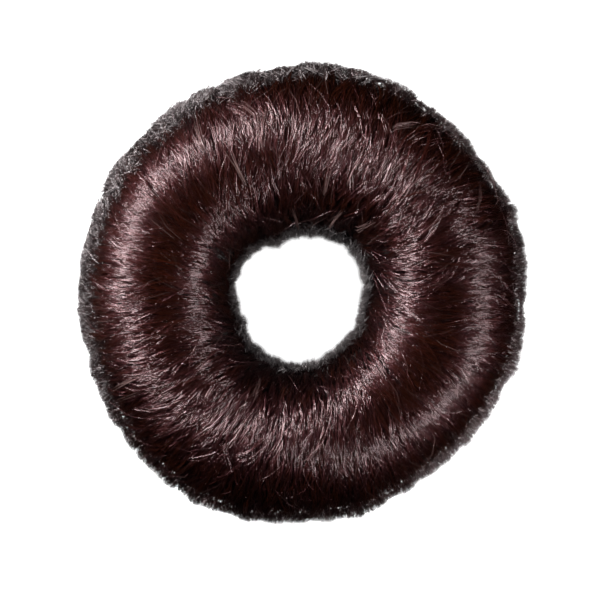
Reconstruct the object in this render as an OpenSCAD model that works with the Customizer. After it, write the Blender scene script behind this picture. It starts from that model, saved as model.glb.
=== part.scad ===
// Hair bun pad: a soft ring covered in short lying fibre. The fibre is combed round the section,
// out of the hole, over the crest, down the outside and back under, and lies in overlapping locks.
// Millimetres. Z is up, the ring rests on Z = 0 and the origin is under the middle of its bounding box.

/* [Shown] */
// The piece to draw

/* [Ring] */
// Width across the ring
ring_w = 90; // [65:1:110]
// Height of the ring from the surface it rests on
ring_h = 30; // [24:1:34]
// How far the rounded underside is pressed flat where it rests
rest_flat = 0.7; // [0.3:0.1:1.5]

/* [Locks of fibre] */
// Locks round the ring in each row
lock_n = 76; // [48:4:80]
// Rows of locks round the section, an even number so that each row is staggered to the next
row_n = 8; // [6:2:8]
// How far a lock's tip stands above the root of the next
lock_rise = 1.2; // [0.4:0.1:1.6]
// Share of a row's length over which a lock tapers to its tip
lock_taper = 0.46; // [0.2:0.02:0.5]
// How uneven the locks are in length, height and direction
unevenness = 1; // [0:0.1:1.2]
// Share of the combed lean that the table of sections gives
comb_lean = 1; // [0:0.1:1.2]

/* [Hidden] */
// One row for each section round the ring, counted anticlockwise from +X as seen from above.
// Radii are from the origin for a ring 90 wide, crest is the height there over the ring's height,
// and lean is the angle in degrees that the fibre leans from the radial line, anticlockwise outward.
section_columns = ["angle", "inner", "outer", "crest", "lean"];
sections = [
    [0, 12.2, 44.8, 0.98, 0],
    [15, 12.3, 45.3, 0.99, 0],
    [30, 12.6, 44.9, 0.98, -3],
    [45, 12.6, 45.1, 0.98, -3],
    [60, 12.1, 45.4, 0.99, -2],
    [75, 11.7, 46.1, 1.00, -4],
    [90, 11.3, 46.1, 1.00, -6],
    [105, 11.2, 45.4, 0.99, -9],
    [120, 10.9, 45.4, 0.97, -13],
    [135, 12.4, 45.3, 0.97, -12],
    [150, 13.3, 45.5, 0.98, -8],
    [165, 13.6, 45.0, 0.98, -4],
    [180, 13.9, 45.2, 0.98, -2],
    [195, 13.6, 45.2, 0.98, -4],
    [210, 13.5, 46.0, 0.98, -7],
    [225, 14.6, 46.4, 0.98, -9],
    [240, 14.6, 47.2, 0.99, -10],
    [255, 14.7, 47.2, 1.00, -8],
    [270, 14.6, 46.1, 0.99, -7],
    [285, 14.1, 46.1, 0.98, -6],
    [300, 13.2, 44.8, 0.97, -7],
    [315, 12.9, 44.6, 0.97, -6],
    [330, 12.5, 44.8, 0.97, -4],
    [345, 12.0, 45.2, 0.98, 0],
];
table_w = 90;
// Shift that brings the middle of the bounding box over the origin, for a ring 90 wide.
to_middle = [0.2, 0.1];
section_n = len(sections);
section_step = 360 / section_n;

// The mesh: two columns to a lock, its middle and the groove beside it, so that the staggered rows
// share their columns, and four rings of points to a row, the last of them along the locks' tips.
cols_per_lock = 2;
rings_per_row = 4;
col_n = lock_n * cols_per_lock;
ring_n = row_n * rings_per_row;
row_arc = 360 / row_n;
// Arc from a tip to the root behind it, which makes the face of the tip steep but never undercut.
tip_step = 1.4;
// Height of a lock over its length, from root to tip, over the full rise.
length_profile = [0.04, 0.50, 0.82, 1.00];
// Height left in the groove beside a lock, over the height at its middle.
groove_height = 0.22;
// Greatest unevenness of a lock's length over its row's, of its height, and of its middle's place
// sideways over its width.
length_spread = 0.12;
height_spread = 0.35;
skew_spread = 0.22;
lock_seed = 41;
length_noise = rands(-1, 1, lock_n * row_n, lock_seed);
height_noise = rands(0, 1, lock_n * row_n, lock_seed + 1);
skew_noise = rands(-1, 1, lock_n * row_n, lock_seed + 2);

// A section table's column at any angle, along a smooth closed curve through its rows.
function wrapped(i) = (i % section_n + section_n) % section_n;
function curve(a, b, c, d, t) =
    b + 0.5 * t * (c - a + t * (2 * a - 5 * b + 4 * c - d + t * (3 * (b - c) + d - a)));
function table(column, angle) =
    let (at = angle / section_step, i = floor(at), k = search([column], section_columns)[0])
    curve(
        sections[wrapped(i - 1)][k],
        sections[wrapped(i)][k],
        sections[wrapped(i + 1)][k],
        sections[wrapped(i + 2)][k],
        at - i
    );

// Which lock of its row a column belongs to, and how far it is from the lock's middle:
// 0 on the middle, 1 in the groove between two locks.
function lock_place(col, row) = (col + (row % 2) * cols_per_lock / 2) / cols_per_lock;
function lock_number(col, row) = row * lock_n + round(lock_place(col, row)) % lock_n;
function from_middle(col, row) = 2 * abs(lock_place(col, row) - round(lock_place(col, row)));

// Angle round the section at which the row's locks end in this column.
function tip_angle(col, row) =
    let (off = from_middle(col, row), own = 1 - off)
    row_arc * (row + 1 - lock_taper * off * off
        + own * unevenness * length_spread * length_noise[lock_number(col, row)]);

// Angle round the section of a point of the mesh: 0 at the hole, 90 on the crest, 180 outside.
function point_angle(col, row, step) =
    let (
        end = tip_angle(col, row),
        start = (row == 0 ? tip_angle(col, row_n - 1) - 360 : tip_angle(col, row - 1)) + tip_step
    )
    start + (end - start) * step / (rings_per_row - 1);

// Height of a point over the backing, over the full rise of a lock.
function point_height(col, row, step) =
    let (
        off = from_middle(col, row),
        side = off == 0 ? 1 : groove_height,
        own = 1 - (1 - off) * unevenness * height_spread * height_noise[lock_number(col, row)]
    )
    length_profile[step] * side * own;

// Sideways place of a lock's tip, over a lock's width. Grooves keep to their column.
function tip_skew(col, row) =
    unevenness * skew_spread * skew_noise[lock_number(col, row)] * (1 - from_middle(col, row));

// Angle round the ring of a point: its column, the combed lean and the skew, which passes evenly
// from that of the tip behind to that of the lock's own tip.
function point_turn(col, row, step, around) =
    let (
        turn = 360 * col / col_n,
        along = step / (rings_per_row - 1),
        skew = tip_skew(col, (row + row_n - 1) % row_n) * (1 - along) + tip_skew(col, row) * along,
        // A lean of the fibre on the crest, carried round the section so that it closes.
        mid_r = (table("inner", turn) + table("outer", turn)) / 2,
        half_w = (table("outer", turn) - table("inner", turn)) / 2,
        swing = -comb_lean * tan(table("lean", turn)) * half_w / mid_r * cos(around)
    )
    turn + skew * 360 / lock_n + swing * 180 / PI;

// A point of the fibre's surface.
function surface_point(col, row, step) =
    let (
        around = point_angle(col, row, step),
        turn = point_turn(col, row, step, around),
        size = ring_w / table_w,
        inner = table("inner", turn) * size,
        outer = table("outer", turn) * size,
        half_w = (outer - inner) / 2,
        half_h = (ring_h * table("crest", turn) + rest_flat) / 2,
        sunk = lock_rise * (1 - point_height(col, row, step)),
        r = inner + half_w - (half_w - sunk) * cos(around),
        z = half_h - rest_flat + (half_h - sunk) * sin(around)
    )
    [r * cos(turn) + to_middle.x * size, r * sin(turn) + to_middle.y * size, max(z, 0)];

function corner(col, ring) = (ring % ring_n) * col_n + col % col_n;

// The two facets between four neighbouring points, cut along the shorter way across.
function facets(points, col, ring) =
    let (
        a = corner(col, ring),
        b = corner(col, ring + 1),
        c = corner(col + 1, ring + 1),
        d = corner(col + 1, ring)
    )
    norm(points[a] - points[c]) < norm(points[b] - points[d])
        ? [[a, c, b], [a, d, c]]
        : [[a, d, b], [b, d, c]];

module fibre_ring() {
    points = [
        for (row = [0:row_n - 1])
            for (step = [0:rings_per_row - 1])
                for (col = [0:col_n - 1])
                    surface_point(col, row, step)
    ];
    faces = [
        for (ring = [0:ring_n - 1])
            for (col = [0:col_n - 1])
                each facets(points, col, ring)
    ];
    color("#2E1713")
        polyhedron(points = points, faces = faces, convexity = 6);
}

fibre_ring();
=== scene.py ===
"""Hair bun pad: a soft ring wholly covered in short, glossy, dark brown synthetic fibre.

The fibre is combed round the section, out of the hole, over the crest, down the outside and back
under. A dark bed of packed fibre holds the form of the solid, and some 111,000 single fibres,
gathered in tufts, grow out of it. Sizes are in millimetres and become metres where a mesh is made.
Angles round the ring run anticlockwise from +X as seen from above. Angles round the section are 0 at
the hole, 90 on the crest, 180 outside and 270 underneath.
"""

from __future__ import annotations

import logging
import math
import sys
from dataclasses import dataclass
from enum import Enum

import bpy
import numpy as np
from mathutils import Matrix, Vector

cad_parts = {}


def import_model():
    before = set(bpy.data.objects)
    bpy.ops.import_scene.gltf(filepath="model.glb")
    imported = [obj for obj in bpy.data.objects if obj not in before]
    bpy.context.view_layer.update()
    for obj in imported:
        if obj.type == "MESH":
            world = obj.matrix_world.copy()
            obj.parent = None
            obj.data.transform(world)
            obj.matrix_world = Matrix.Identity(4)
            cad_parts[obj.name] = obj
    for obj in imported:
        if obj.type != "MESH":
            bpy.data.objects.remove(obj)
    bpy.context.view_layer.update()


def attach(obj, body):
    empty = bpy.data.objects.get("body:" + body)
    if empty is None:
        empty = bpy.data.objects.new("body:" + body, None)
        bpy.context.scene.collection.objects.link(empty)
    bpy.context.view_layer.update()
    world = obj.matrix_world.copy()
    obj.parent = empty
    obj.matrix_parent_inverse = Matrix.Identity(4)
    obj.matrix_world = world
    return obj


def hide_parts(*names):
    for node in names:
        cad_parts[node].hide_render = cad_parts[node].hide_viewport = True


LOG = logging.getLogger("hair_bun_pad")
MM = 0.001
WHITE = "#FFFFFF"
# The photo's pixel that the ring's axis falls on, and the size of a pixel at the crest in millimetres.
PHOTO_MIDDLE = (302.5, 291.5)
PIXEL = 0.2018
BAKE_MAP = "OFBake"
# The numbers of a Mix node's two colour inputs and of its colour output.
MIX_A, MIX_B, MIX_COLOUR = 6, 7, 2
# Steps that spread points evenly over a square, with no rows and no clumps, and the number of strips in
# which a zone's area is summed up.
STEP_ACROSS, STEP_ALONG = 0.7548776662, 0.5698402910
AREA_STRIPS = 200
# The middle of the range of a finish's shades, and the end of it, just under 1 so that it has a strip.
MIDDLE_SHADE, PALEST_SHADE = 0.5, 0.999
# Added to a length before it divides, so that nothing is divided by zero.
TINY = 1e-9
Array = np.ndarray


def linear(colour: str) -> tuple[float, float, float, float]:
    """Turn an sRGB hex value into linear RGBA.

    Args:
        colour: the colour as "#RRGGBB".

    Returns:
        Red, green, blue and an alpha of 1, in linear light.
    """
    parts = [int(colour[i : i + 2], 16) / 255 for i in (1, 3, 5)]
    red, green, blue = (c / 12.92 if c <= 0.04045 else ((c + 0.055) / 1.055) ** 2.4 for c in parts)
    return (red, green, blue, 1.0)


def feed(tree: bpy.types.NodeTree, node: bpy.types.Node, inputs: dict[int | str, object]) -> None:
    """Link or set a shader node's inputs.

    Args:
        tree: the node's tree.
        node: the node.
        inputs: input name or number to an output socket, or to a plain value.
    """
    for name, value in inputs.items():
        if isinstance(value, bpy.types.NodeSocket):
            tree.links.new(value, node.inputs[name])
        else:
            node.inputs[name].default_value = value


def add_node(
    tree: bpy.types.NodeTree, kind: str, inputs: dict[int | str, object] | None = None, **settings: object
) -> bpy.types.Node:
    """Add a shader node with its settings and what it reads.

    Args:
        tree: the node tree that gets the node.
        kind: the node's type, such as "ShaderNodeMath".
        inputs: what feed gets.
        **settings: attributes of the node itself.

    Returns:
        The new node.
    """
    node = tree.nodes.new(kind)
    for name, value in settings.items():
        setattr(node, name, value)
    feed(tree, node, inputs or {})
    return node


def new_material(name: str) -> tuple[bpy.types.Material, bpy.types.NodeTree, bpy.types.Node]:
    """Make a material with one Principled shader.

    Args:
        name: the material's name.

    Returns:
        The material, its node tree and its Principled shader.
    """
    material = bpy.data.materials.new(name)
    material.use_nodes = True
    return material, material.node_tree, material.node_tree.nodes["Principled BSDF"]


@dataclass(frozen=True)
class Table:
    """Rows of numbers with a name for each column."""

    columns: tuple[str, ...]
    rows: tuple[tuple[float, ...], ...]

    def column(self, name: str) -> Array:
        """Give a column's values, one for each row."""
        return np.array(self.rows, float)[:, self.columns.index(name)]

    def at(self, name: str, angle: Array | float) -> Array:
        """Read a column at any angle round the ring, along a smooth closed curve through its rows.

        Args:
            name: the column's name. The table's rows are evenly spaced from angle 0.
            angle: angles in degrees.

        Returns:
            The column's value at each angle.
        """
        values = self.column(name)
        count = len(values)
        place = np.asarray(angle, float) / 360 * count
        low = np.floor(place).astype(int)
        t = place - low
        a, b, c, d = (values[(low + k) % count] for k in (-1, 0, 1, 2))
        return b + 0.5 * t * (c - a + t * (2 * a - 5 * b + 4 * c - d + t * (3 * (b - c) + d - a)))


# The ring's sections: angle round the ring in degrees, inner and outer radius, and the height there
# over the ring's height.
SECTIONS = Table(
    ("angle", "inner", "outer", "crest"),
    (
        (0, 12.2, 44.8, 0.98),
        (15, 12.3, 45.3, 0.99),
        (30, 12.6, 44.9, 0.98),
        (45, 12.6, 45.1, 0.98),
        (60, 12.1, 45.4, 0.99),
        (75, 11.7, 46.1, 1.00),
        (90, 11.3, 46.1, 1.00),
        (105, 11.2, 45.4, 0.99),
        (120, 10.9, 45.4, 0.97),
        (135, 12.4, 45.3, 0.97),
        (150, 13.3, 45.5, 0.98),
        (165, 13.6, 45.0, 0.98),
        (180, 13.9, 45.2, 0.98),
        (195, 13.6, 45.2, 0.98),
        (210, 13.5, 46.0, 0.98),
        (225, 14.6, 46.4, 0.98),
        (240, 14.6, 47.2, 0.99),
        (255, 14.7, 47.2, 1.00),
        (270, 14.6, 46.1, 0.99),
        (285, 14.1, 46.1, 0.98),
        (300, 13.2, 44.8, 0.97),
        (315, 12.9, 44.6, 0.97),
        (330, 12.5, 44.8, 0.97),
        (345, 12.0, 45.2, 0.98),
    ),
)
# How the fibre lies round the ring. Hole, crest and rim are its lean there from the radial line,
# anticlockwise outward, in degrees. Stray is how far a tuft may depart from that, in degrees. Ruff and
# loft are how far the pile stands out round the hole and at the rim, in millimetres. Shade is how much
# paler the combed fibre is, as painted shade: darker towards the bottom and the right, away from the key
# lamp. Ends is how much paler the cut and frizzed ends are, as painted light and shade: paler at the
# right, darker at the left and lower left. For both, 0 is the middle shade of the finish, -1 its darkest
# and 1 its palest, and a coat's own shade adds to it.
COMB = Table(
    ("angle", "hole", "crest", "rim", "stray", "ruff", "loft", "shade", "ends"),
    (
        (0, -4, 0, 2, 10, 0.05, 0, -0.3, 0.8),
        (15, -6, 3, -2, 11, 0.4, 0.5, -0.3, 0.7),
        (30, -8, -4, -8, 10, 0.3, -0.1, -0.2, 1),
        (45, -2, 3, -4, 10, 0.4, -0.05, 0.0, 1.2),
        (60, 6, 4, -2, 10, 0.35, 0.15, 0.0, 1),
        (75, -3, 0, -5, 9, 0.2, 0.15, 0.0, 0.6),
        (90, -8, -8, -6, 8, 0.6, -0.45, 0.0, 0.2),
        (105, -8, -2, -6, 10, 0.15, -0.55, 0.0, -0.2),
        (120, -10, -17, -14, 14, 0.4, -0.1, 0.0, -0.5),
        (135, -12, -12, -9, 10, 0.3, -0.2, 0.1, -0.55),
        (150, -12, -8, -5, 8, 0.2, -0.25, 0.1, -0.55),
        (165, -10, -3, -5, 6, 0.15, -0.1, 0.1, -0.55),
        (180, -8, -2, -9, 6, 0.2, 0.15, 0.1, -0.5),
        (195, -10, -3, -11, 7, 0.1, 0.25, 0.0, -0.3),
        (210, -10, -6, -8, 8, 0.3, 0.45, -0.3, -0.35),
        (225, -10, -7, -7, 8, -0.15, 0.9, -0.5, -0.7),
        (240, -11, -6, -5, 7, 0.1, 1, -0.6, -0.6),
        (255, -6, -4, 0, 7, 0.1, 0.4, -0.6, -0.3),
        (270, -6, -6, -4, 8, -0.2, 0.5, -0.5, -0.1),
        (285, -9, -6, 2, 6, 0.35, 0.75, -0.4, 0.25),
        (300, -6, -6, 4, 5, 0.25, 0.2, -0.2, 1),
        (315, -9, -3, -1, 3, 0, 0.7, -0.1, 1.5),
        (330, -11, -5, -3, 3, 0.4, 0.35, -0.1, 1.5),
        (345, -6, 2, 0, 8, 0.25, 0.35, -0.2, 1.1),
    ),
)
# Where round the section the table's lean at the hole and that on the crest hold, in degrees. The rim's
# holds as far beyond the crest.
HOLE_AT, CREST_AT = 25.0, 90.0
# Tufts that the comb missed, listed from the photo. Across and down are the photo's pixels. Lean is from
# the radial line, anticlockwise outward, in degrees. Curl is how far the tip bends aside over the length.
WISPS = Table(
    ("across", "down", "lean", "curl"),
    (
        (209, 160, -18, 0.10),
        (210, 161, -8, 0.05),
        (207, 158, -26, 0.15),
        (257, 146, -4, 0.35),
        (260, 130, 2, 0.45),
        (253, 197, 4, -0.10),
        (261, 162, -22, 0.05),
        (322, 205, 6, -0.10),
        (298, 236, -4, 0.10),
        (327, 232, 2, -0.15),
        (344, 196, 14, -0.25),
        (384, 140, -30, -0.20),
        (352, 234, -25, 0.20),
        (466, 222, 24, 0.30),
        (150, 372, -6, 0.05),
        (262, 372, 14, -0.20),
    ),
)
# The slow waves that the pile's unevenness is made of: how many there are round the ring and round the
# section, and where each starts, in radians. The height is that of one wave.
SWELLS = Table(("ring", "section", "start"), ((9, 2, 0), (17, -3, 1), (26, 4, 2)))
SWELL_HEIGHT = 0.6


def wave(turn: Array, around: Array | float) -> Array:
    """Give the pile's slow unevenness, mostly within 1 of zero and 5 to 15 mm from crest to crest."""
    a, b = np.radians(turn), np.radians(around)
    return SWELL_HEIGHT * sum(np.sin(ring * a + section * b + start) for ring, section, start in SWELLS.rows)


@dataclass(frozen=True)
class RingForm:
    """The ring's main form, the same as the solid's: an oval section carried round the table.

    Attributes:
        height: the ring's height.
        rest_flat: how far the underside is pressed flat.
        middle_x, middle_y: where the ring's axis is.
        section_radius: the section's mean radius, which turns a fibre's length into an angle.
    """

    height: float = 30.0
    rest_flat: float = 0.7
    middle_x: float = 0.2
    middle_y: float = 0.1
    section_radius: float = 15.5

    def section(self, turn: Array | float) -> tuple[Array, Array, Array]:
        """Give the radius of the section's middle, its half width and its half height."""
        inner, outer, crest = (SECTIONS.at(name, turn) for name in ("inner", "outer", "crest"))
        return (inner + outer) / 2, (outer - inner) / 2, (self.height * crest + self.rest_flat) / 2

    def radius(self, turn: Array | float, around: Array) -> Array:
        """Give a place's distance from the ring's axis."""
        middle, half_w, _ = self.section(turn)
        return middle - half_w * np.cos(np.radians(around))

    def place(self, turn: Array, around: Array, lift: Array | float) -> Array:
        """Give points on or off the form.

        Args:
            turn: angles round the ring in degrees.
            around: angles round the section in degrees.
            lift: distance out from the form in millimetres.

        Returns:
            The points, in millimetres, with one more axis than the angles.
        """
        middle, half_w, half_h = self.section(turn)
        a, p = np.radians(turn), np.radians(around)
        r = middle - (half_w + lift) * np.cos(p)
        z = half_h - self.rest_flat + (half_h + lift) * np.sin(p)
        return np.stack([r * np.cos(a) + self.middle_x, r * np.sin(a) + self.middle_y, z], axis=-1)


FORM = RingForm()


@dataclass(frozen=True)
class ModacrylicFibre:
    """Modacrylic wig fibre, wet spun, drawn and cut short.

    The drawn skin is smooth, so each fibre carries a narrow bright line, a little pink because the
    brown dye tints what comes back through it. Dye lots differ, so the shades do too, and they also carry
    painted light and shade.

    Attributes:
        shades: its shades, from the darkest to the palest.
        root_painted_shade: the share of its shade that a root keeps: painted shade from its neighbours.
        root_end: the share of the length at which the painted shade ends and the full shade is reached.
        tint: the colour of the gloss.
        skin: how much of the drawn skin there is, as a clear coat.
        columns: how many shades the bake map holds, side by side.
    """

    name: str = "dark brown modacrylic fibre"
    shades: tuple[str, ...] = ("#040100", "#0B0300", "#140500", "#1A0700", "#200A01", "#260A04")
    root_painted_shade: float = 0.35
    root_end: float = 0.6
    roughness: float = 0.35
    ior: float = 1.53
    tint: str = "#FF7C8E"
    skin: float = 0.95
    skin_roughness: float = 0.19
    columns: int = 48

    def make(self) -> bpy.types.Material:
        """Build the material. The bake map's u picks a fibre's shade and v runs from root to tip.

        Returns:
            The material.
        """
        material, tree, shader = new_material(self.name)
        uv = add_node(tree, "ShaderNodeUVMap", uv_map=BAKE_MAP)
        axes = add_node(tree, "ShaderNodeSeparateXYZ", {"Vector": uv.outputs["UV"]})
        strip = add_node(
            tree, "ShaderNodeMath", {0: axes.outputs["X"], 1: 1 / self.columns}, operation="SNAP"
        )
        ramp = add_node(tree, "ShaderNodeValToRGB", {"Fac": strip.outputs["Value"]})
        stops = ramp.color_ramp.elements
        stops[0].color = linear(self.shades[0])
        stops[1].color = linear(self.shades[-1])
        for k, shade in enumerate(self.shades[1:-1], 1):
            stop = stops.new(k / (len(self.shades) - 1))
            stop.color = linear(shade)
        # Painted shade: the base colour darkens towards the root, for the shade of the neighbouring fibre.
        along = add_node(
            tree,
            "ShaderNodeMapRange",
            {
                "Value": axes.outputs["Y"],
                "From Min": 0.0,
                "From Max": self.root_end,
                "To Min": self.root_painted_shade,
                "To Max": 1.0,
            },
        )
        mixed = add_node(
            tree,
            "ShaderNodeMix",
            {0: 1.0, MIX_A: ramp.outputs["Color"], MIX_B: along.outputs["Result"]},
            data_type="RGBA",
            blend_type="MULTIPLY",
        )
        look = {
            "Base Color": mixed.outputs[MIX_COLOUR],
            "Roughness": self.roughness,
            "IOR": self.ior,
            "Specular Tint": linear(self.tint),
            "Coat Weight": self.skin,
            "Coat Roughness": self.skin_roughness,
            "Coat IOR": self.ior,
        }
        feed(tree, shader, look)
        return material


@dataclass(frozen=True)
class PackedFibreBed:
    """The same fibre packed down where the tufts root: matt, and near black between them.

    A real fibre is less than 0.1 mm thick, too fine to show in the render, so the streaks of dark and
    light are drawn 1 mm apart.
    """

    name: str = "packed modacrylic bed"
    dark: str = "#0A0504"
    light: str = "#1A0C09"
    streak: float = 1.0
    roughness: float = 0.8
    ior: float = 1.53

    def make(self) -> bpy.types.Material:
        """Build the material.

        Returns:
            The material.
        """
        material, tree, shader = new_material(self.name)
        place = add_node(tree, "ShaderNodeTexCoord")
        noise = add_node(
            tree,
            "ShaderNodeTexNoise",
            {"Vector": place.outputs["Object"], "Scale": 1 / (self.streak * MM)},
        )
        mixed = add_node(
            tree,
            "ShaderNodeMix",
            {0: noise.outputs["Fac"], MIX_A: linear(self.dark), MIX_B: linear(self.light)},
            data_type="RGBA",
        )
        look = {"Base Color": mixed.outputs[MIX_COLOUR], "Roughness": self.roughness, "IOR": self.ior}
        feed(tree, shader, look)
        return material


@dataclass(frozen=True)
class StudioPaper:
    """Uncoated white studio paper, or card of the same kind: matt, so the lamps leave no mark on it.

    Its glow, how strongly it shines of itself, makes up for the light of a whole room.
    """

    name: str = "white studio paper"
    colour: str = "#F4F4F4"
    roughness: float = 0.9
    gloss: float = 0.1
    glow: float = 0.985

    def make(self) -> bpy.types.Material:
        """Build the material.

        Returns:
            The material.
        """
        material, tree, shader = new_material(self.name)
        look = {
            "Base Color": linear(self.colour),
            "Roughness": self.roughness,
            "Specular IOR Level": self.gloss,
            "Emission Color": linear(WHITE),
            "Emission Strength": self.glow,
        }
        feed(tree, shader, look)
        return material


def mesh_object(name: str, points: Array, faces: Array, material: bpy.types.Material) -> bpy.types.Object:
    """Make an object from a mesh.

    Args:
        name: the piece's name.
        points: the mesh's points, in millimetres.
        faces: corner numbers, a row per face.
        material: the piece's material.

    Returns:
        The new object, shaded smooth and in the scene.
    """
    mesh = bpy.data.meshes.new(name)
    mesh.from_pydata(points * MM, [], faces)
    mesh.polygons.foreach_set("use_smooth", np.ones(len(mesh.polygons), bool))
    mesh.materials.append(material)
    piece = bpy.data.objects.new(name, mesh)
    bpy.context.scene.collection.objects.link(piece)
    return piece


@dataclass(frozen=True)
class PileBed:
    """The bed of packed fibre that the tufts grow out of: the whole ring, a little inside the form.

    Attributes:
        sunk: how far it is inside the form.
        turns: points round the ring.
        steps: points round the section.
        lump: the height of its lumps.
        lumps: how many lumps there are round the ring and round the section, in each of two sets.
        lowest: the least height over the floor.
    """

    sunk: float = 1.9
    turns: int = 160
    steps: int = 44
    lump: float = 0.25
    lumps: tuple[tuple[int, int], ...] = ((23, 2), (37, -3))
    lowest: float = 0.15

    def build(self, material: bpy.types.Material) -> bpy.types.Object:
        """Build the bed and put it in the solid's place.

        Args:
            material: the bed's material.

        Returns:
            The bed.
        """
        turn, around = np.meshgrid(
            np.arange(self.turns) * 360 / self.turns, np.arange(self.steps) * 360 / self.steps
        )
        bumps = sum(np.sin(np.radians(turn * ring + around * section)) for ring, section in self.lumps)
        lift = -self.sunk + self.lump * bumps / len(self.lumps)
        points = FORM.place(turn, around, lift).reshape(-1, 3)
        points[:, 2] = np.maximum(points[:, 2], self.lowest)
        here = np.arange(self.turns * self.steps).reshape(self.steps, self.turns)
        right, up = np.roll(here, -1, 1), np.roll(here, -1, 0)
        corner = np.roll(right, -1, 0)
        faces = np.stack([here, up, corner, right], axis=-1).reshape(-1, 4)
        piece = mesh_object("pile_bed", points, faces, material)
        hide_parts("fibre_ring")
        return piece


class Zone(Enum):
    """Where on the section a coat grows: the first and last angle of its roots."""

    HOLE = (-62.0, 38.0)
    THROAT = (-36.0, 13.0)
    CREST = (38.0, 128.0)
    TOP = (10.0, 140.0)
    RIM = (128.0, 232.0)
    SHOULDER = (138.0, 168.0)
    EDGE = (155.0, 180.0)
    UNDER = (232.0, 298.0)


class Finish(Enum):
    """Which finish a coat's fibre has: in order, cut or frizzed at its ends, or loose on top."""

    COMBED = "combed"
    CUT = "cut"
    FRIZZED = "frizzed"
    PALE = "pale"


@dataclass(frozen=True)
class Strands:
    """The single fibres of a coat, with an entry for each fibre in every array.

    Attributes:
        turn: its tuft's angle round the ring, in degrees.
        around: its tuft's angle round the section, in degrees.
        radius: its tuft's distance from the ring's axis.
        aside: how far to the side of its tuft's middle it roots.
        ahead: how far ahead of its tuft's middle it roots.
        lean: its lean from the radial line, in radians.
        curl: how far its tip bends aside over its length.
        length: its length.
        tip: how far its tip stands out from the form, before the flick.
        flick: how far its tip is flicked out.
        lowest: the least height that it may have over the floor.
        gather: the share of their distance by which a tuft's tips draw together.
        rooted: the share of the length that comes up through the pile.
        root_depth: how far under the form the roots are.
        flick_curve: how late along the length the flick sets in.
    """

    turn: Array
    around: Array
    radius: Array
    aside: Array
    ahead: Array
    lean: Array
    curl: Array
    length: Array
    tip: Array
    flick: Array
    lowest: Array
    gather: float
    rooted: float
    root_depth: float
    flick_curve: float = 1.3

    def path(self, shares: Array) -> Array:
        """Give a point of every fibre at each share of its length.

        Args:
            shares: shares of the length, 0 at the root and 1 at the tip.

        Returns:
            The points, in millimetres: a row for each fibre, with a point for each share.
        """
        s = shares[None, :]
        run = self.length[:, None] * s
        side = self.aside[:, None] * (1 - self.gather * s) + run * np.sin(self.lean)[:, None]
        side = side + self.curl[:, None] * run * s
        fore = self.ahead[:, None] + run * np.cos(self.lean)[:, None]
        under = np.clip(1 - s / self.rooted, 0, 1) ** 2
        rise = self.tip[:, None] - (self.tip + self.root_depth)[:, None] * under
        rise = rise + self.flick[:, None] * np.abs(s) ** self.flick_curve
        turn = self.turn[:, None] + np.degrees(side / self.radius[:, None])
        around = self.around[:, None] + np.degrees(fore / FORM.section_radius)
        points = FORM.place(turn, around, rise)
        points[..., 2] = np.maximum(points[..., 2], self.lowest[:, None])
        return points


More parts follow.
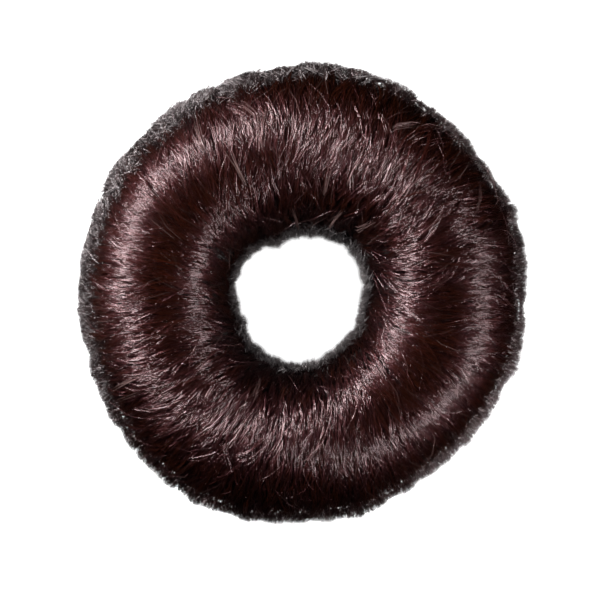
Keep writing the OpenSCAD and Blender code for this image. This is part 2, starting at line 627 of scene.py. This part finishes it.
@dataclass(frozen=True)
class FibreTubes:
    """Closed three-sided tubes that taper to a point, one for each fibre of a coat.

    Attributes:
        path: points along each fibre.
        ahead: the fibre's direction at each of them.
        thick: each fibre's thickness at its root.
        shade: each fibre's place on the bake map, from 0 to 1.
        upright: a direction for each fibre, which says how its sides are turned.
        sides: the sides of a tube.
        taper: the share of the thickness that is lost along a fibre before its point.
        taper_curve: how late along the length that is lost.
        root_mark: how high on the bake map the middle of the root's end face is.
        side_margin: what a fibre leaves free on each side of its strip of the bake map.
        end_margin: what it leaves free at each end of the strip.
    """

    path: Array
    ahead: Array
    thick: Array
    shade: Array
    upright: Array
    sides: int = 3
    taper: float = 0.55
    taper_curve: float = 1.5
    root_mark: float = 0.04
    side_margin: float = 0.15
    end_margin: float = 0.02

    def plan(self, spans: int) -> tuple[Array, Array, Array]:
        """Lay out the faces of one tube.

        Args:
            spans: how many spans the tube has.

        Returns:
            Its faces, the numbers of the normals at their corners, and where their corners are on the
            fibre's strip of the bake map.
        """
        sides = self.sides
        tip, cap = sides * spans, sides * spans + sides
        faces, looks = [(0, 2, 1)], [(cap, cap, cap)]
        marks = [((0, 0), (1, 0), (0.5, self.root_mark))]
        for j in range(spans - 1):
            low, high = j / spans, (j + 1) / spans
            for c in range(sides):
                a, b = sides * j + c, sides * j + (c + 1) % sides
                left, right = c / sides, (c + 1) / sides
                pair = [(a, b, b + sides), (a, b + sides, a + sides)]
                faces += pair
                looks += pair
                marks.append(((left, low), (right, low), (right, high)))
                marks.append(((left, low), (right, high), (left, high)))
        last = (spans - 1) / spans
        for c in range(sides):
            a, b = sides * (spans - 1) + c, sides * (spans - 1) + (c + 1) % sides
            faces.append((a, b, tip))
            looks.append((a, b, tip + c))
            marks.append(((c / sides, last), ((c + 1) / sides, last), ((c + 0.5) / sides, 1)))
        return np.array(faces), np.array(looks), np.array(marks, float)

    def build(self, name: str, columns: int, material: bpy.types.Material) -> bpy.types.Object:
        """Make one mesh of all the tubes.

        Args:
            name: the piece's name.
            columns: how many shades the bake map holds.
            material: the fibre's material.

        Returns:
            The piece.
        """
        sides = self.sides
        n, k = self.path.shape[0], self.path.shape[1] - 1
        ahead = self.ahead / (np.linalg.norm(self.ahead, axis=2, keepdims=True) + TINY)
        side = np.cross(ahead, np.zeros_like(ahead) + self.upright)
        side /= np.linalg.norm(side, axis=2, keepdims=True) + TINY
        other = np.cross(ahead, side)
        taper = 1 - self.taper * (np.arange(k) / k) ** self.taper_curve
        reach = (self.thick[:, None] / 2 * taper)[..., None]
        # Directions square on the fibre, at the edges and the faces by turns. The normals are the same
        # along the whole length, so that the gloss is a line.
        angles = [math.tau * corner / (2 * sides) for corner in range(2 * sides)]
        square = [math.cos(a) * side + math.sin(a) * other for a in angles]
        at_edges, at_faces = square[0::2], square[1::2]
        body = np.stack([self.path[:, :k] + reach * way[:, :k] for way in at_edges], axis=2)
        points = np.concatenate([body.reshape(n, sides * k, 3), self.path[:, k:]], axis=1)
        ring_normals = np.stack([way[:, :k] for way in at_edges], axis=2).reshape(n, sides * k, 3)
        tip_normals = np.stack([way[:, k] for way in at_faces], axis=1)
        normals = np.concatenate([ring_normals, tip_normals, -ahead[:, :1]], axis=1)
        faces, looks, marks = self.plan(k)
        stride = sides * k + 1
        all_faces = (faces[None] + (np.arange(n) * stride)[:, None, None]).reshape(-1, 3)
        piece = mesh_object(name, points.reshape(-1, 3), all_faces, material)
        corners = normals[:, looks.ravel()].reshape(-1, 3)
        piece.data.normals_split_custom_set(corners.astype(np.float32))
        local = marks.reshape(1, -1, 2)
        width = 1 / columns
        u = self.shade[:, None] + width * (self.side_margin + (1 - 2 * self.side_margin) * local[..., 0])
        v = np.broadcast_to(self.end_margin + (1 - 2 * self.end_margin) * local[..., 1], u.shape)
        layer = piece.data.uv_layers.new(name=BAKE_MAP)
        layer.data.foreach_set("uv", np.stack([u, v], axis=-1).astype(np.float32).ravel())
        return piece


@dataclass(frozen=True)
class Unevenness:
    """How uneven the pile is, in every coat alike. What starts with tuft or fibre is a spread by chance."""

    # Places: round the ring in degrees, and within a tuft lengthways over the spread sideways.
    tuft_turn: float = 0.6
    fibre_ahead: float = 1.6
    # Directions: the comb's swing to and fro in degrees, and how the tips bend aside over their length.
    comb_swing: float = 3.0
    tuft_curl: float = 0.17
    fibre_curl: float = 0.03
    # Lengths over the mean, with the least and the greatest.
    tuft_length: float = 0.12
    fibre_length: float = 0.15
    length_limits: tuple[float, float] = (0.45, 1.6)
    # Lifts over the coat's own spread of lifts.
    tuft_lift: float = 0.7
    fibre_lift: float = 0.5
    # Flicks of the tips over the coat's flick: the most by chance, a slow wave with its angle from the
    # comb's, the share left where the comb strays nowhere, and what each degree of stray adds.
    flick_limit: float = 1.7
    fibre_flick: float = 0.07
    flick_wave: float = 0.5
    flick_turn: float = 50.0
    calm_flick: float = 0.4
    stray_flick: float = 0.075
    # Bumps of the outline, short and long, and of the hole's edge. Each wave is read at its own angle.
    rim_bump: float = 0.38
    rim_swell: float = 0.2
    rim_swell_at: float = 120.0
    hole_bump: float = 0.4
    hole_bump_at: float = 90.0
    # Shades over a finish's range: fibres within a tuft, the frizz's patches, and painted light: how fast
    # the ends grow paler towards the widest part, from where they face nearly sideways.
    fibre_shade: float = 0.12
    frizz_patch: float = 0.25
    end_painted_light: float = 5.0
    end_painted_light_from: float = 0.95
    # How a coat that covers a part of the ring thins out towards the crest, 1 being evenly.
    thin_out: float = 0.7
    # Thicknesses over the mean, with the least and the greatest.
    fibre_thick: float = 0.15
    thick_limits: tuple[float, float] = (0.6, 1.5)
    # The least height over the floor, and how much higher that is for some fibres.
    floor_gap: float = 0.16
    floor_spread: float = 0.25


PILE = Unevenness()


@dataclass(frozen=True)
class FibreCoat:
    """Fibres of one kind in one zone, gathered in tufts.

    A real fibre is less than 0.1 mm thick, too fine to show, so it is drawn 0.12 to 0.30 mm thick.

    Attributes:
        name: the piece's name.
        zone: where on the section it grows.
        tufts: how many tufts it has.
        per_tuft: how many fibres a tuft has.
        length: a fibre's mean length.
        thick: a fibre's mean thickness at its root.
        bends: how many straight spans a fibre has.
        lift: how far a tip stands out from the form.
        lift_spread: how uneven that is.
        seed: what the coat's random numbers start from.
        start: where round the ring it starts, in degrees.
        reach: how far round the ring it goes on, in degrees.
        spread: how far from a tuft's middle its fibres root.
        gather: the share of that by which the tips draw together.
        unruly: how far its tufts stray from the comb, over what the table says.
        root_depth: how far under the form the roots are.
        inset: how far the coat is drawn in where it faces straight out.
        flick: how far a tip is flicked out by chance.
        droop: how far the tips are pressed down, over the flick.
        kind: its finish.
        pale: painted light and shade: how much paler than the middle shade it is, over the shades' range.
        uneven: spread of the tufts' shades, over the range of the shades.
        rooted: the share of a fibre's length that comes up through the pile.
        stray: how far a fibre's lean strays from its tuft's, in degrees.
        blur: how far the tufts stray over the edges of the zone, in degrees.
    """

    name: str
    zone: Zone
    tufts: int
    per_tuft: int
    length: float
    thick: float
    bends: int
    lift: float
    lift_spread: float
    seed: int
    start: float = 0.0
    reach: float = 360.0
    spread: float = 0.4
    gather: float = 0.75
    unruly: float = 1.0
    root_depth: float = 1.4
    inset: float = 0.75
    flick: float = 0.27
    droop: float = 0.9
    kind: Finish = Finish.COMBED
    pale: float = 0.0
    uneven: float = 0.2
    rooted: float = 0.3
    stray: float = 1.0
    blur: float = 1.5

    def roots(self, rng: np.random.Generator) -> tuple[Array, Array]:
        """Spread the tufts over the zone.

        Args:
            rng: the coat's random numbers.

        Returns:
            The tufts' angles round the ring and round the section.
        """
        k = np.arange(self.tufts) + 0.5
        across, along = (k * STEP_ACROSS) % 1, (k * STEP_ALONG) % 1
        low, high = self.zone.value
        if self.reach < 360:
            # A coat that covers a part of the ring thins out towards both ends and towards the crest.
            across = 0.5 + np.arcsin(2 * across - 1) / math.pi
            around = low + (high - low) * along**PILE.thin_out
        else:
            # The tufts stand equally close on the inside of the ring and on the outside.
            grid = np.linspace(low, high, AREA_STRIPS)
            weight = np.cumsum(FORM.radius(0.0, grid))
            around = np.interp(along, (weight - weight[0]) / (weight[-1] - weight[0]), grid)
        around = around + rng.normal(0, self.blur, self.tufts)
        return self.start + across * self.reach + rng.normal(0, PILE.tuft_turn, self.tufts), around

    def lean(self, turn: Array, around: Array) -> Array:
        """Read how the combed fibre leans at a place.

        Args:
            turn: angles round the ring in degrees.
            around: angles round the section in degrees.

        Returns:
            The lean in degrees, anticlockwise outward.
        """
        hole, crest, rim = (COMB.at(name, turn) for name in ("hole", "crest", "rim"))
        across = np.clip((around - HOLE_AT) / (CREST_AT - HOLE_AT), 0, 2)
        over = np.where(across < 1, hole + (crest - hole) * across, crest + (rim - crest) * (across - 1))
        # Below the widest part the lean fades over 30 degrees, and the fibre underneath lies straight.
        below = np.clip(-2 * np.sin(np.radians(around)), 0, 1)
        return over * (1 - below)

    def directions(self, turn: Array, around: Array, rng: np.random.Generator) -> tuple[Array, Array]:
        """Give each tuft its lean and its curl.

        Args:
            turn: angles round the ring in degrees.
            around: angles round the section in degrees.
            rng: the coat's random numbers.

        Returns:
            The lean in degrees, and how far the tip bends aside over the tuft's length.
        """
        stray = self.unruly * COMB.at("stray", turn) * rng.normal(0, 1, self.tufts)
        lean = self.lean(turn, around) + stray + PILE.comb_swing * wave(turn, around)
        return lean, PILE.tuft_curl * self.unruly * rng.normal(0, 1, self.tufts)

    def loft(self, turn: Array, around: Array) -> Array:
        """Read how far the pile stands out, which counts at the rims and not on the crest.

        Args:
            turn: angles round the ring in degrees.
            around: angles round the section in degrees.

        Returns:
            The distance in millimetres.
        """
        facing_out = -np.cos(np.radians(around))
        at_rim = COMB.at("loft", turn) + PILE.rim_bump * wave(2 * turn, 0.0)
        at_rim = at_rim + PILE.rim_swell * wave(turn, PILE.rim_swell_at)
        at_hole = COMB.at("ruff", turn) + PILE.hole_bump * wave(turn, PILE.hole_bump_at)
        return facing_out**2 * np.where(facing_out > 0, at_rim, at_hole) - self.inset * facing_out**4

    def strands(self, turn: Array, around: Array, tuft: Array, rng: np.random.Generator) -> Strands:
        """Give every fibre its root, its direction, its length and its tip.

        Args:
            turn: the tufts' angles round the ring in degrees.
            around: the tufts' angles round the section in degrees.
            tuft: which tuft each fibre belongs to.
            rng: the coat's random numbers.

        Returns:
            The fibres.
        """
        n = len(tuft)
        # Fibres stand round their tuft's middle at the root and draw together towards its tip.
        aside = rng.normal(0, self.spread, n)
        ahead = rng.normal(0, self.spread * PILE.fibre_ahead, n)
        tuft_lean, tuft_curl = self.directions(turn, around, rng)
        lean = np.radians(tuft_lean[tuft] + rng.normal(0, self.stray, n))
        curl = tuft_curl[tuft] + rng.normal(0, PILE.fibre_curl, n)
        length = self.length * (1 + rng.normal(0, PILE.tuft_length, self.tufts))[tuft]
        length = length * (1 + rng.normal(0, PILE.fibre_length, n))
        shortest, longest = PILE.length_limits
        tuft_lift = PILE.tuft_lift * rng.normal(0, 1, self.tufts)[tuft]
        lifted = self.lift_spread * (tuft_lift + PILE.fibre_lift * rng.normal(0, 1, n))
        tuft_flick = rng.normal(0, 1, self.tufts).clip(-PILE.flick_limit, PILE.flick_limit)
        tuft_flick = tuft_flick + PILE.flick_wave * wave(turn + PILE.flick_turn, around)
        flick = self.flick * (tuft_flick[tuft] + PILE.fibre_flick * rng.normal(0, 1, n) - self.droop)
        return Strands(
            turn=turn[tuft],
            around=around[tuft],
            radius=FORM.radius(turn, around)[tuft],
            aside=aside,
            ahead=ahead,
            lean=lean,
            curl=curl,
            length=np.clip(length, shortest * self.length, longest * self.length),
            tip=self.lift + self.loft(turn, around)[tuft] + lifted,
            flick=flick * (PILE.calm_flick + PILE.stray_flick * COMB.at("stray", turn))[tuft],
            lowest=PILE.floor_gap + PILE.floor_spread * rng.random(n),
            gather=self.gather,
            rooted=self.rooted,
            root_depth=self.root_depth,
        )

    def shades(
        self, turn: Array, around: Array, tuft: Array, columns: int, rng: np.random.Generator
    ) -> Array:
        """Give every fibre its shade.

        Args:
            turn: the tufts' angles round the ring in degrees.
            around: the tufts' angles round the section in degrees.
            tuft: which tuft each fibre belongs to.
            columns: how many shades the bake map holds.
            rng: the coat's random numbers.

        Returns:
            Where each fibre's strip of the bake map starts, from 0 for the darkest towards 1.
        """
        at_ends = self.kind in (Finish.CUT, Finish.FRIZZED)
        # Painted light and shade: the comb's columns and the coat's pale make a fibre paler or darker by
        # where it grows.
        local = MIDDLE_SHADE * COMB.at("ends" if at_ends else "shade", turn)
        paler = MIDDLE_SHADE + self.pale + local + self.uneven * rng.normal(0, 1, self.tufts)
        if at_ends:
            # Painted light: the ends are palest where the ring is widest or the hole narrowest.
            paler = paler + PILE.end_painted_light * (np.abs(np.cos(np.radians(around))) - PILE.end_painted_light_from)
        if self.kind is Finish.FRIZZED:
            paler = paler + PILE.frizz_patch * wave(2 * turn, around)
        shade = paler[tuft] + PILE.fibre_shade * rng.normal(0, 1, len(tuft))
        return np.floor(np.clip(shade, 0.0, PALEST_SHADE) * columns) / columns

    def build(self, material: bpy.types.Material, columns: int) -> bpy.types.Object:
        """Grow the coat.

        Args:
            material: the fibre's material.
            columns: how many shades the material's bake map holds.

        Returns:
            One piece with all the coat's fibres.
        """
        rng = np.random.default_rng(self.seed)
        turn, around = self.roots(rng)
        tuft = np.repeat(np.arange(self.tufts), self.per_tuft)
        strands = self.strands(turn, around, tuft, rng)
        # The first span comes up through the pile and the others lie along the form. Fibres of two spans
        # that are rooted along their whole length have no second one, and end bluntly.
        stops = np.concatenate([[0.0], np.linspace(self.rooted, 1, self.bends)])
        beside = 0.01
        ahead = strands.path(stops + beside) - strands.path(stops - beside)
        shade = self.shades(turn, around, tuft, columns, rng)
        thinnest, thickest = PILE.thick_limits
        thick = self.thick * (1 + PILE.fibre_thick * rng.normal(0, 1, len(tuft))).clip(thinnest, thickest)
        upright = rng.normal(0, 1, (len(tuft), 1, 3))
        tubes = FibreTubes(strands.path(stops), ahead, thick, shade, upright)
        return tubes.build(self.name, columns, material)


@dataclass(frozen=True)
class WispCoat(FibreCoat):
    """Tufts laid as listed, one for each row of the table of wisps.

    Attributes:
        steepest: how far out on the section a wisp may root, over the half width.
    """

    steepest: float = 0.98

    def roots(self, rng: np.random.Generator) -> tuple[Array, Array]:
        """Work out the tufts' places on the form from their places in the photo.

        Args:
            rng: the coat's random numbers, which aren't used here.

        Returns:
            The tufts' angles round the ring and round the section.
        """
        x = (WISPS.column("across") - PHOTO_MIDDLE[0]) * PIXEL - FORM.middle_x
        y = (PHOTO_MIDDLE[1] - WISPS.column("down")) * PIXEL - FORM.middle_y
        turn = np.degrees(np.arctan2(y, x)) % 360
        middle, half_w, _ = FORM.section(turn)
        inward = np.clip((middle - np.hypot(x, y)) / half_w, -self.steepest, self.steepest)
        return turn, np.degrees(np.arccos(inward))

    def directions(self, turn: Array, around: Array, rng: np.random.Generator) -> tuple[Array, Array]:
        """Give each tuft the lean and the curl of its row."""
        return WISPS.column("lean"), WISPS.column("curl")


@dataclass(frozen=True)
class FibrePile:
    """All the coats of fibre on the ring, and the finishes that they have."""

    coats: tuple[FibreCoat, ...] = (
        FibreCoat(
            name="crest_under_fibre", zone=Zone.CREST, tufts=1700, per_tuft=10, length=7.5, thick=0.20,
            bends=2, lift=-0.45, lift_spread=0.05, seed=11, spread=0.6, unruly=0.6, flick=0.18,
        ),
        FibreCoat(
            name="crest_fibre", zone=Zone.CREST, tufts=1750, per_tuft=4, length=9.0, thick=0.17,
            bends=3, lift=-0.15, lift_spread=0.14, seed=12, flick=0.34, spread=0.28,
        ),
        FibreCoat(
            name="rim_under_fibre", zone=Zone.RIM, tufts=1500, per_tuft=10, length=6.5, thick=0.20,
            bends=2, lift=-0.8, lift_spread=0.05, seed=14, spread=0.6, unruly=0.6, flick=0.18,
        ),
        FibreCoat(
            name="rim_fibre", zone=Zone.RIM, tufts=1700, per_tuft=4, length=7.0, thick=0.17,
            bends=2, lift=-0.5, lift_spread=0.14, seed=13, flick=0.34, spread=0.28,
        ),
        # Round the hole the fibre is drawn darker by its pale of -0.3: painted shade in the hole.
        FibreCoat(
            name="hole_under_fibre", zone=Zone.HOLE, tufts=1050, per_tuft=10, length=6.0, thick=0.20,
            bends=2, lift=-0.6, lift_spread=0.05, seed=18, spread=0.6, unruly=0.6, flick=0.18, pale=-0.3,
        ),
        FibreCoat(
            name="hole_fibre", zone=Zone.HOLE, tufts=950, per_tuft=4, length=6.5, thick=0.17,
            bends=2, lift=-0.4, lift_spread=0.14, seed=15, flick=0.22, spread=0.28, pale=-0.3,
        ),
        FibreCoat(
            name="belly_fibre", zone=Zone.UNDER, tufts=550, per_tuft=8, length=8.0, thick=0.30,
            bends=2, lift=-0.1, lift_spread=0.20, seed=16,
        ),
        FibreCoat(
            name="stray_fibre", zone=Zone.TOP, tufts=420, per_tuft=1, length=8.5, thick=0.12,
            bends=3, lift=0.1, lift_spread=0.20, seed=17, unruly=2.2, stray=8.0, kind=Finish.PALE,
        ),
        FibreCoat(
            name="rim_fringe", zone=Zone.EDGE, tufts=4200, per_tuft=6, length=1.9, thick=0.12,
            bends=1, lift=0.34, lift_spread=0.18, seed=21, unruly=1.6, stray=12.0, flick=0.12,
            droop=-0.6, rooted=1.0, spread=0.6, gather=0.6, root_depth=1.0, inset=0.0,
            kind=Finish.CUT, pale=-0.5, uneven=0.25, blur=6.0,
        ),
        # Its pale of 0.55 is partly the frizz's own grey and partly painted light.
        FibreCoat(
            name="upper_left_fuzz", zone=Zone.SHOULDER, tufts=1600, per_tuft=4, length=1.7, thick=0.14,
            bends=2, lift=0.05, lift_spread=0.2, seed=22, start=70.0, reach=150.0, unruly=5.0,
            stray=35.0, flick=0.35, droop=0.0, rooted=1.0, gather=0.9, root_depth=1.0, inset=0.1,
            kind=Finish.FRIZZED, pale=0.55, uneven=0.6, blur=5.0,
        ),
        # Its pale of 0.6 is painted light in the hole, where the lamps hardly reach.
        FibreCoat(
            name="hole_fringe", zone=Zone.THROAT, tufts=2400, per_tuft=6, length=1.6, thick=0.12,
            bends=1, lift=0.3, lift_spread=0.18, seed=23, unruly=1.2, stray=14.0, flick=0.12,
            droop=-0.6, rooted=1.0, spread=0.6, gather=0.6, root_depth=1.0, inset=0.0,
            kind=Finish.FRIZZED, pale=0.6, uneven=0.35, blur=5.0,
        ),
        # The wisps' pale of 0.4 is painted light, on top of the loose strands' paler shades.
        WispCoat(
            name="laid_wisps", zone=Zone.TOP, tufts=len(WISPS.rows), per_tuft=6, length=7.0, thick=0.16,
            bends=3, lift=0.35, lift_spread=0.12, seed=31, spread=0.3, stray=2.0, kind=Finish.PALE,
            pale=0.4,
        ),
    )
    combed: ModacrylicFibre = ModacrylicFibre()
    # Fibre that the shears have cut, at the outline. Its brownish-grey shades, paler than the combed
    # fibre's, are painted light for the white light round the edge, seen through and on the thin ends.
    cut: ModacrylicFibre = ModacrylicFibre(
        "cut modacrylic ends",
        ("#0C0605", "#1A1110", "#322725", "#4A3E3C", "#64585A", "#807476"),
        tint="#FFBCC2",
    )
    # Fibre that wear has frizzed, at the upper left and in the hole. Bent every way, it scatters light, so
    # it looks a nearly neutral grey; its pale shades are partly that and partly painted light, most of all
    # in the hole, where the lamps hardly reach.
    frizzed: ModacrylicFibre = ModacrylicFibre(
        "frizzed modacrylic ends",
        ("#0B0706", "#191312", "#2F2827", "#484140", "#625D5D", "#807B7B"),
        tint="#FFD6DA",
    )
    # Fibre that lies loose on top of the rest. Its paler shades are painted light: clear of the pile's
    # shadow, light reaches it from below as well.
    pale: ModacrylicFibre = ModacrylicFibre(
        "loose modacrylic strands",
        ("#120B0A", "#1E1413", "#2D211F", "#3C2E2B", "#4B3B38", "#5A4946"),
    )

    def build(self) -> list[bpy.types.Object]:
        """Make the finishes and grow every coat.

        Returns:
            The pieces, one for each coat.
        """
        finishes = {
            Finish.COMBED: self.combed,
            Finish.CUT: self.cut,
            Finish.FRIZZED: self.frizzed,
            Finish.PALE: self.pale,
        }
        made = {kind: finish.make() for kind, finish in finishes.items()}
        return [coat.build(made[coat.kind], finishes[coat.kind].columns) for coat in self.coats]


@dataclass(frozen=True)
class Softbox:
    """A square lamp with an even face, which looks at the ring's middle.

    Attributes:
        azimuth: its direction, anticlockwise from +X as seen from above, in degrees.
        tilt: its angle from straight above, in degrees.
        away: its distance.
        power: its power in watts.
    """

    name: str
    azimuth: float
    tilt: float
    away: float
    size: float
    power: float

    def hang(self) -> None:
        """Put the lamp in its place."""
        light = bpy.data.lights.new(self.name, "AREA")
        light.shape = "SQUARE"
        light.size = self.size * MM
        light.energy = self.power
        a, t = math.radians(self.azimuth), math.radians(self.tilt)
        out = Vector((math.cos(a) * math.sin(t), math.sin(a) * math.sin(t), math.cos(t)))
        item = bpy.data.objects.new(self.name, light)
        item.location = out * self.away * MM
        item.rotation_euler = out.to_track_quat("Z", "Y").to_euler()
        bpy.context.scene.collection.objects.link(item)


@dataclass(frozen=True)
class BounceCard:
    """A flat ring of white card round the foot of the pad.

    It shows only in the gloss of the fibre that turns down at the rim, as a grey haze.

    Attributes:
        inner, outer: its radii.
        height: its height over the floor.
        corners: how many corners each of its edges has.
        glow: how strongly it shines of itself.
    """

    inner: float = 45.0
    outer: float = 52.0
    height: float = 0.01
    corners: int = 96
    glow: float = 4.0

    def build(self) -> None:
        """Lay the card. Nothing but glossy light sees it."""
        turn = np.radians(np.arange(self.corners) * 360 / self.corners)
        rim = np.stack([np.cos(turn), np.sin(turn), 0 * turn], axis=1)
        points = np.concatenate([rim * self.inner, rim * self.outer]) + (0, 0, self.height)
        here = np.arange(self.corners)
        ahead = np.roll(here, -1)
        faces = np.stack([here, here + self.corners, ahead + self.corners, ahead], axis=1)
        paper = StudioPaper("white bounce card", glow=self.glow).make()
        item = mesh_object("bounce_card", points, faces, paper)
        item.visible_camera = False
        item.visible_diffuse = False
        item.visible_shadow = False


@dataclass(frozen=True)
class Studio:
    """The paper, the card, the softboxes, the pale surroundings and the camera.

    Attributes:
        reach: the paper's width.
        room: how strongly the pale surroundings shine.
        view_height: the camera's height.
        look_x, look_y: the point that it is straight above.
        nearest, farthest: the least and the greatest distance that it sees.
    """

    reach: float = 3000.0
    card: BounceCard = BounceCard()
    lamps: tuple[Softbox, ...] = (
        Softbox(name="key_softbox", azimuth=148, tilt=56, away=700, size=210, power=15.4),
        Softbox(name="fill_softbox", azimuth=336, tilt=55, away=700, size=190, power=6.6),
    )
    room: float = 0.45
    view_height: float = 351.5
    look_x: float = -0.5
    look_y: float = -1.72
    lens: float = 100.0
    nearest: float = 10.0
    farthest: float = 20000.0

    def floor(self) -> None:
        """Lay the paper. The camera alone sees it, and the card stands in for its gloss in the fibre."""
        half = self.reach / 2
        points = np.array([(-half, -half, 0), (half, -half, 0), (half, half, 0), (-half, half, 0)], float)
        floor = mesh_object("studio_floor", points, np.array([(0, 1, 2, 3)]), StudioPaper().make())
        floor.visible_diffuse = False
        floor.visible_glossy = False

    def surroundings(self) -> None:
        """Light the matt part of every material from all round. The gloss doesn't show this light."""
        world = bpy.data.worlds.new("studio")
        world.use_nodes = True
        back = world.node_tree.nodes["Background"]
        feed(world.node_tree, back, {"Color": linear(WHITE), "Strength": self.room})
        world.cycles_visibility.glossy = False
        bpy.context.scene.world = world

    def camera(self) -> None:
        """Hang the camera where the photo's was. It looks straight down."""
        lens = bpy.data.cameras.new("camera")
        lens.lens = self.lens
        lens.clip_start = self.nearest * MM
        lens.clip_end = self.farthest * MM
        camera = bpy.data.objects.new("camera", lens)
        camera.location = (self.look_x * MM, self.look_y * MM, self.view_height * MM)
        bpy.context.scene.collection.objects.link(camera)
        bpy.context.scene.camera = camera

    def build(self) -> None:
        """Set up everything that isn't the pad."""
        self.floor()
        self.card.build()
        for lamp in self.lamps:
            lamp.hang()
        self.surroundings()
        bpy.context.scene.view_settings.view_transform = "Standard"
        self.camera()


def main() -> None:
    """Build the pad in its studio."""
    logging.basicConfig(level=logging.INFO, format="%(message)s", stream=sys.stdout)
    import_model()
    Studio().build()
    pieces = [PileBed().build(PackedFibreBed().make()), *FibrePile().build()]
    for piece in pieces:
        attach(piece, "root")
        LOG.info("%s: %d faces", piece.name, len(piece.data.polygons))


if __name__ == "__main__":
    main()
